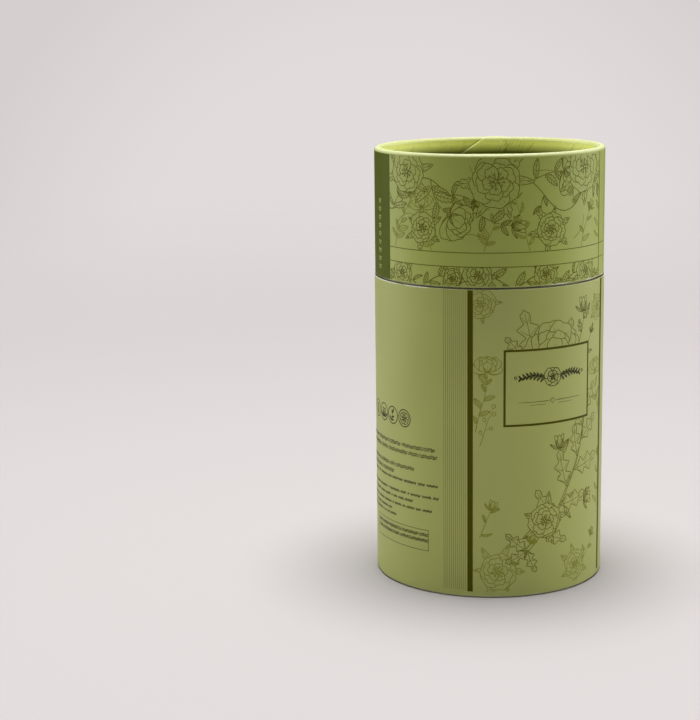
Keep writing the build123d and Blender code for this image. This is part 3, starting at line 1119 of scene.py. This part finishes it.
# %% [markdown]
# Round the corner from the label, the base carries four ringed plants over rows of tiny leaves. The rows
# are so fine that the eye sees a texture, so one plain leaf of ten points is enough for all of them.
# A row repeats it, leaning up and down by turns, and leaves a bare place now and then.

# %% Base: ornaments of the left panel
ROUNDELS = (-56.7, -63.6, -70.4, -77.4)
ROUNDEL_HEIGHT, ROUNDEL_RADIUS, ROUNDEL_PEN = 62.0, 3.1, 0.36
ROW_LEFT = -92.0
TALL_ROWS = ((52.2, -43.8), (49.6, -43.0), (44.2, -52.8), (41.6, -64.0))
FINE_ROWS = ((39.2, -42.3), (34.8, -42.0), (32.4, -53.3), (29.8, -44.8), (27.6, -65.3), (25.6, -62.2))
SIDE_BOX = (-77.3, 15.2, -45.7, 22.7)
BOX_ROW_LEFT = -76.2
BOXED_ROWS = ((20.9, -46.6), (18.8, -46.6))
SIDE_BOX_PEN = 0.18
GAP_CHANCE = 0.07


def leaf_row(drawing, left, right, y, size, pitch):
    """A row of tiny leaves that lean up and down by turns, with a bare place here and there."""
    x, hand, since = right, 1, 0
    while x > left:
        for lean_out in (40, -40) if size > 1.2 else (34,):
            reach = size * drawing.dice.uniform(0.8, 1.15)
            drawing.cut_out("leaflet", x, y - 0.4 * hand * size, 90 - hand * (90 - lean_out), reach, 1.6)
        x, hand, since = x - pitch, -hand, since + 1
        if drawing.dice.random() < GAP_CHANCE * since:
            x, since = x - 0.9 * pitch, 0


def side_panel():
    d = Drawing(41, DARK)
    circle = ring(ROUNDEL_RADIUS, 0.0, 40)
    for number, x in enumerate(ROUNDELS):
        d.line([(x + px, ROUNDEL_HEIGHT + py) for px, py in circle + circle[:1]], ROUNDEL_PEN, ROUNDEL_PEN)
        if number == 0:
            d.blossom(x, ROUNDEL_HEIGHT, 0, 4.6, ((5, 0.5),), 0)
        elif number == 1:
            d.sprig(x - 1.2, ROUNDEL_HEIGHT - 2.0, 30, 3.3, -2, 2.4, BROAD, "leaf", 0.9, 0.2)
        elif number == 2:
            d.bud(x, ROUNDEL_HEIGHT - 1.8, 0, 3.4)
        else:
            d.cut_out("leaf_toothed", x, ROUNDEL_HEIGHT - 2.2, 8, 4.4, 1.2)
    for y, right in TALL_ROWS:
        leaf_row(d, ROW_LEFT, right, y, size=1.45, pitch=1.35)
    for y, right in FINE_ROWS:
        leaf_row(d, ROW_LEFT, right, y, size=0.85, pitch=0.78)
    frame_line(d, *SIDE_BOX, SIDE_BOX_PEN)
    for y, right in BOXED_ROWS:
        leaf_row(d, BOX_ROW_LEFT, right, y, size=1.25, pitch=1.1)
    return d


side_art = side_panel()
print("side panel:", len(side_art.things), "things")

# %% [markdown]
# The lid has a vine with blossoms above a bare band, and a narrow garland below it. A vine is a stem whose
# heading swings to and fro, so it snakes along without ever turning back, and sprigs grow out of its bends.

# %% Lid: a vine with blossoms, and the garland under the bare band
LID_LEFT, LID_RIGHT = -64.4, 26.3
LID_FLAP = 7.0
LID_PRINT_LOW, PRINT_TOP = 111.0, 154.8
BAND_LOW, BAND_HIGH = 117.7, 122.6
UNDERGROWTH_FOOT = 123
VINE_MIDDLE, GARLAND_MIDDLE, GARLAND_POSIES = 142.0, 112.6, 114.0
LEVEL_RULE_PEN, EDGE_RULE_PEN = 0.28, 0.55


def wavy_vine(start, end, middle, swing, turn_length):
    """A stem that snakes from start to end about a middle height."""
    made, x, y = [], start, middle
    while x < end:
        heading = 90 + swing * math.cos(2 * math.pi * (x - start) / turn_length)
        made.append((x, y, heading))
        x, y = walk(x, y, heading)
    return made


def nearest(vine, x):
    return min(vine, key=lambda p: abs(p[0] - x))


def lid_drawing():
    d = Drawing(23)
    for x, heading, length, leaves, tip in (
        (-61, 16, 21, TOOTHED, "bud"),
        (-44, -14, 15, BROAD, "side"),
        (-25, 14, 12, TOOTHED, "leaf"),
        (-9, -20, 19, BROAD, "bud"),
        (13, 14, 14, TOOTHED, "bud"),
        (26, -6, 24, BROAD, "side"),
    ):
        d.sprig(x, UNDERGROWTH_FOOT, heading, length, 0.5, 5.5, leaves, tip)
    d.berries(-30, 152, 150, 13, 1.0, 6, 1.3)
    d.berries(10, 154, 200, 13, -1.0, 6, 1.3)
    d.layer = FULL
    vine = wavy_vine(-72.0, 32.0, VINE_MIDDLE, swing=50.0, turn_length=34.0)
    d.stem(vine, 0.32, 0.28)
    for x, off, length, curl, size, leaves, tip in (
        (-62, -58, 10, 4.0, 7.0, BROAD, "bud"),
        (-44, 62, 15, -3.0, 8.5, TOOTHED, "side"),
        (-38, -64, 10, 3.5, 6.5, BROAD, "bud"),
        (-27, 70, 13, -3.6, 8.5, TOOTHED, "bud"),
        (-9, -56, 14, 2.6, 8.5, TOOTHED, "side"),
        (-4, 66, 9, -4.0, 6.5, BROAD, "leaf"),
        (9, -70, 10, 3.0, 7.0, TOOTHED, "bud"),
        (22, 60, 12, -3.0, 8.0, BROAD, "side"),
    ):
        x, y, ahead = nearest(vine, x)
        d.sprig(x, y, ahead + off, length, curl, size, leaves, tip)
    for x, y, turn, size in (
        (-54.5, 149.5, 10, 15.0),
        (-47.5, 130.5, 70, 10.5),
        (-21.0, 147.0, -20, 17.5),
        (-1.0, 130.0, 15, 11.5),
        (14.5, 150.5, 0, 17.0),
    ):
        posy(d, x, y, turn, size)
    for x, y, heading, hand in ((-60, 131, 40, 1), (-24, 127, 300, -1), (-7, 150, 80, 1), (9, 126, 60, -1)):
        d.tendril(x, y, heading, 11, hand)
    edge_plates(d, LID_LEFT, LID_RIGHT, BAND_HIGH, PRINT_TOP)
    return d


def garland_drawing():
    d = Drawing(31, FULL)
    vine = wavy_vine(-70.0, 32.0, GARLAND_MIDDLE, swing=34.0, turn_length=17.0)
    d.stem(vine, 0.34, 0.34)
    x, hand = -66.0, 1
    while x < 30:
        px, py, ahead = nearest(vine, x)
        lean_out = d.dice.uniform(35, 60)
        kind = d.dice.choice(BROAD + ("leaf_toothed",))
        d.cut_out(kind, px, py, ahead + hand * lean_out, d.dice.uniform(4.5, 6.2), hand)
        x, hand = x + d.dice.uniform(1.6, 4.6), -hand
    for x, size in ((-57, 9.5), (-36, 7.5), (-27, 10.5), (-3, 8.5), (16, 10.5)):
        posy(d, x, GARLAND_POSIES + d.dice.uniform(-0.8, 0.8), d.dice.uniform(0, 60), size, 5, BROAD)
    edge_plates(d, LID_LEFT, LID_RIGHT, LID_PRINT_LOW, BAND_LOW)
    return d


def lid_rules():
    """The two level rules of the bare band, and an upright one at each end of the overlap."""
    d = Drawing(1, DARK)
    for y in (BAND_LOW, BAND_HIGH):
        d.line(level_line(LID_LEFT, LID_RIGHT + LID_FLAP, y), LEVEL_RULE_PEN, LEVEL_RULE_PEN)
    for x, pen in ((LID_RIGHT, EDGE_RULE_PEN), (LID_RIGHT + LID_FLAP, LEVEL_RULE_PEN)):
        d.line(upright(x, LID_PRINT_LOW, PRINT_TOP), pen, pen)
    return d


lid_art, garland_art, rules_art = lid_drawing(), garland_drawing(), lid_rules()
print("lid drawing:", len(lid_art.things), "things, garland:", len(garland_art.things))

# %% [markdown]
# The two discs were die-cut from a printed sheet, so their border of plants is cut off by the edge.
# The page is laid out straight, as for the tube: along it is round the disc, and up it is outwards.

# %% Discs: sprigs that reach in from the border
CLUSTERS = 9
SPRIG_ROOM = 20.9
SPRIG_FOOT, POSY_FOOT = 42.0, 39.0
DISC_PRINT_EDGE = 39.6


def border_sprigs(seed_number):
    """Clusters round a disc, most of each cut off by its edge; x runs round, y is the radius."""
    d = Drawing(seed_number)
    for number in range(CLUSTERS):
        x = number * SPRIG_ROOM + d.dice.uniform(3.0, 9.0)
        d.sprig(x, SPRIG_FOOT, 180 + d.dice.uniform(-30, 30), d.dice.uniform(6, 9), 2.0, 4.0, BROAD, "leaf")
        if number % 2:
            posy(d, x + 5.0, POSY_FOOT + d.dice.uniform(-1.0, 1.0), d.dice.uniform(0, 60), 8.0, 4)
        else:
            d.sprig(x + 5.0, SPRIG_FOOT, 160, 8.0, 4.0, 4.5, TOOTHED, "bud")
    d.plate(-20.0, DISC_PRINT_EDGE, 220.0, 60.0)
    return d


bottom_art, top_art = border_sprigs(7), border_sprigs(8)
print("disc borders:", len(bottom_art.things), "and", len(top_art.things), "things")

# %% [markdown]
# Inks. An offset ink is thin and keeps the sheet's own grain, so each ink is the paper's finish
# in another colour. The solid stripes have inks and pieces of their own, because they are a little
# darker than the lines and have less gloss.

# %% Inks
INK_ROUGHNESS = 0.46


def printed_ink(name, colour, specular=0.1):
    material, tree, shader, place = new_material(name, INK_ROUGHNESS, Specular_IOR_Level=specular)
    drift, grain = press_marks(tree, place)
    coats = (drift, 0.3, 0.7, 1.0, colour), (grain, 0.45, 0.8, 1.0, toned(colour, 1.12))
    rough = INK_ROUGHNESS - 0.06, INK_ROUGHNESS + 0.08
    surfaced(tree, shader, coated(tree, toned(colour, 0.86), *coats), grain, rough)
    return material


faint_ink = printed_ink("faint_ink", rgb(128, 132, 44))
line_ink = printed_ink("line_ink", rgb(92, 91, 12))
dark_ink = printed_ink("dark_ink", rgb(44, 44, 8))
stripe_ink = printed_ink("stripe_olive", rgb(72, 71, 0), specular=0.04)
stripe_green = printed_ink("stripe_green", rgb(80, 90, 5), specular=0.05)
pale_ink = printed_ink("pale_ink", rgb(176, 186, 112))
inks = (faint_ink, line_ink, dark_ink, stripe_ink, stripe_green, pale_ink)
print("inks:", ", ".join(ink.name for ink in inks))

# %% Print the drawings
for sheet, art, body, radius, prints in (
    ("base_page", base_art, "base", BASE_RADIUS, (
        ("base_faint_plants", FAINT, faint_ink), ("base_branch", FULL, line_ink),
        ("base_label_border", DARK, stripe_ink), ("base_label_ornament", BLACK, dark_ink),
    )),
    ("side_page", side_art, "base", BASE_RADIUS, (("base_side_ornaments", DARK, dark_ink),)),
    ("lid_page", lid_art, "lid", LID_RADIUS, (
        ("lid_undergrowth", FAINT, faint_ink), ("lid_vine", FULL, line_ink),
    )),
    ("garland_page", garland_art, "lid", LID_RADIUS, (("lid_garland", FULL, line_ink),)),
    ("rules_page", rules_art, "lid", LID_RADIUS, (("lid_rules", DARK, line_ink),)),
):
    start = page(sheet, art)
    for name, layer, ink in prints:
        grown(name, wall_print, start, body, ink, Layer=layer, Radius=radius)

# %% [markdown]
# Beside the olive stripe runs a band of fine pinstripes, all alike and evenly spaced.
# That is what an instance on a row of points is for: one straight line, copied along the band.
# Moving the band, or asking for more lines, is then one number in the modifier.

# %% Pinstripes
PINSTRIPES = 12
PIN_PITCH = 0.715
PIN_PEN = 0.115
PIN_LEFT, PIN_LOW = -39.4, 2.6


def pinstripe_tree():
    """A row of points, an upright line on each, and ink on every line."""
    tree, given = node_group(
        "pinstripes", Lines=PINSTRIPES, Pitch=PIN_PITCH * MM, Start=0.0, Low=0.0, High=0.1, Pen=PIN_PEN,
        Radius=BASE_RADIUS, Rise=INK_RISE
    )
    row = put(tree, "GeometryNodeMeshLine", {
        "Count": given["Lines"],
        "Start Location": combined(tree, X=given["Start"], Y=given["Low"]),
        "Offset": combined(tree, X=given["Pitch"]),
    })
    end = combined(tree, Y=worked(tree, "SUBTRACT", given["High"], given["Low"]))
    line = put(tree, "GeometryNodeCurvePrimitiveLine", {"End": end})
    copies = put(tree, "GeometryNodeInstanceOnPoints", {"Points": row, "Instance": line})
    inked(tree, realized(tree, copies), given["Pen"], given)
    return tree


grown(
    "base_pinstripes", pinstripe_tree(), bpy.data.meshes.new("empty_page"), "base", line_ink,
    Start=PIN_LEFT * MM, Low=PIN_LOW * MM, High=STRIPE_TOP * MM
)

# %% [markdown]
# The stripes are solid areas of ink, too wide for a flat bar, so they are bent sheets of their own.
# Each is a closed skin a few hundredths of a millimetre thick, half of it sunk into the paper.


# %% Solid stripes
AREA_STEP = 0.6
LID_STRIPE_LEFT, LID_STRIPE_LOW = -84.3, 110.8


def ink_area(name, body, radius, left, low, right, high, material):
    """A closed sheet of ink round a tube, from left to right and low to high, in millimetres."""
    columns = max(2, int((right - left) / AREA_STEP)) + 1
    around = [x / radius for x in shares(columns, left * MM, right * MM)]
    outer, inner = radius + INK_RISE, radius - INK_RISE
    corners = ((outer, low), (outer, high), (inner, high), (inner, low))
    points = [(r * math.sin(a), -r * math.cos(a), y * MM) for a in around for r, y in corners]
    faces = [(0, 1, 2, 3), tuple(range(len(points) - 4, len(points)))]
    for i in range(0, len(points) - 4, 4):
        faces += [(i + k, i + (k + 1) % 4, i + 4 + (k + 1) % 4, i + 4 + k) for k in range(4)]
    piece = closed_sheet(name, points, faces, material)
    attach(piece, body)
    print(name, len(faces), "faces")


for name, left in (("base_left_stripe", PANEL_LEFT - STRIPE_WIDTH), ("base_right_stripe", PANEL_RIGHT)):
    ink_area(name, "base", BASE_RADIUS, left, STRIPE_LOW, left + STRIPE_WIDTH, STRIPE_TOP, stripe_ink)
ink_area(
    "lid_side_stripe", "lid", LID_RADIUS, LID_STRIPE_LEFT, LID_STRIPE_LOW, LID_LEFT, PRINT_TOP, stripe_green
)

# %% A chain of pale leaves down the lid's stripe
CHAIN_MIDDLE, CHAIN_LOW, CHAIN_TOP, CHAIN_PAIRS = -73.0, 114.0, 137.5, 9
CHAIN_RISE = 1.8 * INK_RISE


def leaf_chain():
    d = Drawing(5, FULL)
    for y in shares(CHAIN_PAIRS, CHAIN_LOW, CHAIN_TOP):
        for turn in (-48, 48):
            d.cut_out("leaflet", CHAIN_MIDDLE, y, turn, 1.5, 2.2)
    return d


grown(
    "lid_leaf_chain", wall_print, page("chain_page", leaf_chain()), "lid", pale_ink, Layer=FULL,
    Radius=LID_RADIUS, Rise=CHAIN_RISE
)

# %% Sprigs on the two discs
DISC_PAGE_RADIUS = 30 * MM
disc_print = print_tree("disc_print", Radius=DISC_PAGE_RADIUS, **{"Face Height": 0.0})
for name, body, art, face_height in (
    ("bottom_disc_sprigs", "base", bottom_art, BOTTOM_DISC_FACE),
    ("top_disc_sprigs", "lid", top_art, TOP_DISC_FACE),
):
    start = page(f"{name}_page", art)
    grown(name, disc_print, start, body, faint_ink, Layer=FAINT, **{"Face Height": face_height})

# %% [markdown]
# The boards and plain papers come from the CAD model as they are, and only get their finish.
# Wound board shows its plies at a cut edge, so its rings are drawn by the distance from the axis.
# The white papers are uncoated: soft, a little uneven, with fibres that catch the light.


# %% Board and white papers
PLY_THICKNESS = 0.33 * MM
FRINGE_SCALE, FLECK_SCALE = 1500.0, 700.0
LONG_FIBRE_SCALE, CLOUD_SCALE = 1100.0, 60.0
LONG_FIBRE_STRETCH = (1.0, 1.0, 0.25)


def wound_board(name, pale, shade):
    material, tree, shader, place = new_material(name, 0.85)
    level = vector_worked(tree, "MULTIPLY", place, (1, 1, 0))
    ply = worked(tree, "DIVIDE", vector_worked(tree, "LENGTH", level, output="Value"), PLY_THICKNESS)
    fringe, fleck = noise(tree, place, FRINGE_SCALE), noise(tree, place, FLECK_SCALE, 4.0, 0.7)
    rough_ply = worked(tree, "ADD", ply, spread(tree, fringe, 0.3, 0.7, 0.0, 0.35))
    across = worked(tree, "FRACT", rough_ply)
    cut_edge = coated(tree, pale, (across, 0.80, 0.95, 1.0, shade), (fleck, 0.58, 0.68, 0.5, shade))
    surfaced(tree, shader, cut_edge, fringe, depth=0.05 * MM, strength=0.6)
    return material


def plain_paper(name, colour, fleck_colour):
    material, tree, shader, place = new_material(name, 0.8, Sheen_Weight=0.15)
    stretched = put(tree, "ShaderNodeMapping", {0: place, "Scale": LONG_FIBRE_STRETCH})
    fibre, cloud = noise(tree, stretched, LONG_FIBRE_SCALE, 5.0, 0.65), noise(tree, place, CLOUD_SCALE)
    sheet = coated(tree, colour, (cloud, 0.3, 0.7, 0.35, fleck_colour), (fibre, 0.6, 0.75, 0.4, fleck_colour))
    surfaced(tree, shader, sheet, fibre, (0.72, 0.88), 0.05 * MM, 0.6)
    return material


board = wound_board("wound_board", rgb(221, 218, 204), rgb(176, 170, 150))
grey_board = wound_board("grey_board", rgb(122, 116, 100), rgb(86, 80, 66))
white_paper = plain_paper("white_lining_paper", rgb(228, 224, 210), rgb(203, 197, 178))
neck_paper = plain_paper("neck_wrap_paper", rgb(222, 223, 196), rgb(196, 197, 164))

FINISHES = (
    (grey_board, ("base_outer_tube",)),
    (board, ("bottom_disc", "lid_outer_tube", "neck_tube", "top_disc")),
    (white_paper, (
        "base_inner_ply", "bottom_disc_lining", "lid_inner_ply", "neck_lining", "top_disc_lining",
    )),
    (neck_paper, ("neck_facing",)),
    # The discs' paper is darker, as painted shade against the light from above.
    (shaded_disc_paper, ("bottom_disc_facing", "top_disc_facing")),
)
for material, nodes in FINISHES:
    for node in nodes:
        finish = frame["nodes"][node].data.materials
        finish.clear()
        finish.append(material)
    print(material.name, "on", ", ".join(nodes))

# %% [markdown]
# A plain pale table. It is one wide disc with hardly any gloss. Its colour is painted a little darker where
# the tube stands and paler farther off, which evens out the pool of light from the overhead box. Towards its
# rim it fades out into the backdrop, so that no edge of it shows behind the tube. It is there for the picture
# and isn't part of the box.

# %% Floor
FLOOR_RADIUS = 3.0
FLOOR_SIDES = 96
PALER_FROM, PALER_TO = 0.11, 0.95
FADE_FROM, FADE_TO = 0.45, 1.3
# Painted light: the floor is darker near the tube and paler farther off, to even out the overhead box's pool
# of light.
NEAR_FLOOR = (0.40, 0.3755, 0.3755, 1.0)
FAR_FLOOR = (0.57, 0.532, 0.532, 1.0)
floor_material, tree, shader, place = new_material("pale_floor", 0.9, Specular_IOR_Level=0.0)
reach = vector_worked(tree, "LENGTH", place, output="Value")
floor_tone = mixed(tree, spread(tree, reach, PALER_FROM, PALER_TO), NEAR_FLOOR, FAR_FLOOR)
tree.links.new(floor_tone, shader.inputs["Base Color"])
tree.links.new(spread(tree, reach, FADE_FROM, FADE_TO, 1.0, 0.0), shader.inputs["Alpha"])
floor = placed("floor", bpy.data.meshes.new("floor"))
shape = bmesh.new()
bmesh.ops.create_circle(shape, cap_ends=True, segments=FLOOR_SIDES, radius=FLOOR_RADIUS)
shape.to_mesh(floor.data)
shape.free()
floor.data.materials.append(floor_material)
print(f"floor {2 * FLOOR_RADIUS:.0f} m across, gone from sight {FADE_TO} m from the tube")

# %% [markdown]
# Soft studio light. A very wide sun stands in for a large soft box: it is equally strong everywhere, so
# the tube and the table can be set apart. One from each side, low and a little behind the tube, leaves
# its middle the darkest, and a white card in front lifts it a little. These three light the tube alone.
# One sun straight above lights the table alone. A high sun from behind and a round box overhead light
# both, and the box also draws the soft shadow round the foot.

# %% Lights
SIDE_BEARING, SIDE_ELEVATION, SIDE_WIDTH = 105, 12, 50
TOP_ELEVATION, TOP_WIDTH = 80, 40
FLOOR_SUN_WIDTH = 45
LEFT_POWER, RIGHT_POWER = 2.07, 2.31
TOP_POWER = 1.7
FLOOR_POWER = 2.0
SPOT_POWER, SPOT_SIZE, SPOT_HEIGHT = 3.1, 0.24, 0.62
CARD_POWER, CARD_WIDTH, CARD_TALL = 0.068, 0.22, 0.05
CARD_DISTANCE, CARD_HEIGHT = 0.20, 0.03


def lamp(name, kind, power, location, rotation=(0, 0, 0), **form):
    light = bpy.data.lights.new(name, kind)
    light.energy = power
    for key, value in form.items():
        setattr(light, key, value)
    return placed(name, light, location, rotation)


def soft_sun(name, bearing, elevation, width, power):
    """A sun seen at a bearing and elevation in degrees, as wide as a soft box looks."""
    rise = math.radians(elevation)
    place = bearing_point(bearing, math.cos(rise), math.sin(rise))
    turn = place.to_track_quat("Z", "Y").to_euler()
    return lamp(name, "SUN", power, place, turn, angle=math.radians(width))


left_box = soft_sun("left_box", CAMERA_BEARING - SIDE_BEARING, SIDE_ELEVATION, SIDE_WIDTH, LEFT_POWER)
right_box = soft_sun("right_box", CAMERA_BEARING + SIDE_BEARING, SIDE_ELEVATION, SIDE_WIDTH, RIGHT_POWER)
floor_box = soft_sun("floor_box", 0, 90, FLOOR_SUN_WIDTH, FLOOR_POWER)
soft_sun("top_box", CAMERA_BEARING + 180, TOP_ELEVATION, TOP_WIDTH, TOP_POWER)
spot = lamp("overhead_box", "AREA", SPOT_POWER, (0, 0, SPOT_HEIGHT), shape="DISK", size=SPOT_SIZE)
card = lamp(
    "white_card", "AREA", CARD_POWER, bearing_point(CAMERA_BEARING, CARD_DISTANCE, CARD_HEIGHT),
    (math.radians(90), 0, math.radians(CAMERA_BEARING)), shape="RECTANGLE", size=CARD_WIDTH, size_y=CARD_TALL
)
for unseen in (spot, card):
    unseen.visible_camera = False
tube_only, floor_only = (bpy.data.collections.new(name) for name in ("tube_only", "floor_only"))
for piece in bpy.context.scene.objects:
    if piece.type == "MESH":
        (floor_only if piece is floor else tube_only).objects.link(piece)
for light in (left_box, right_box, card):
    light.light_linking.receiver_collection = tube_only
floor_box.light_linking.receiver_collection = floor_only

# %% [markdown]
# The backdrop. A photographer's paper sweep is brightest where the lamp falls on it and dims outwards,
# so the world is a pale tone round one direction and a little darker past it. Only the camera sees it:
# to everything else the world gives a faint, even light, which keeps the shadows from going black.

# %% Backdrop
AMBIENT = 0.012
CORNER_TONE = rgb(213, 207, 207)
MIDDLE_TONE = rgb(226, 219, 219)
MIDDLE_POINT = (0.23, 0.48, 0.0)
MIDDLE_ANGLE = 8.3
CORNER_ANGLE = 14.0
world = bpy.data.worlds.new("studio")
bpy.context.scene.world = world
world.use_nodes = True
tree = world.node_tree
middle = (Vector(MIDDLE_POINT) - camera.location).normalized()
direction = put(tree, "ShaderNodeTexCoord", output="Generated")
near = vector_worked(tree, "DOT_PRODUCT", direction, middle, "Value")
edge, core = math.cos(math.radians(CORNER_ANGLE)), math.cos(math.radians(MIDDLE_ANGLE))
studio_tone = mixed(tree, spread(tree, near, edge, core), CORNER_TONE, MIDDLE_TONE)
seen = put(tree, "ShaderNodeLightPath", output="Is Camera Ray")
tone = mixed(tree, seen, (AMBIENT, AMBIENT, AMBIENT, 1.0), studio_tone)
tree.links.new(tone, tree.nodes["Background"].inputs["Color"])
print(f"backdrop: bright within {MIDDLE_ANGLE} degrees of its middle, plain from {CORNER_ANGLE} on")
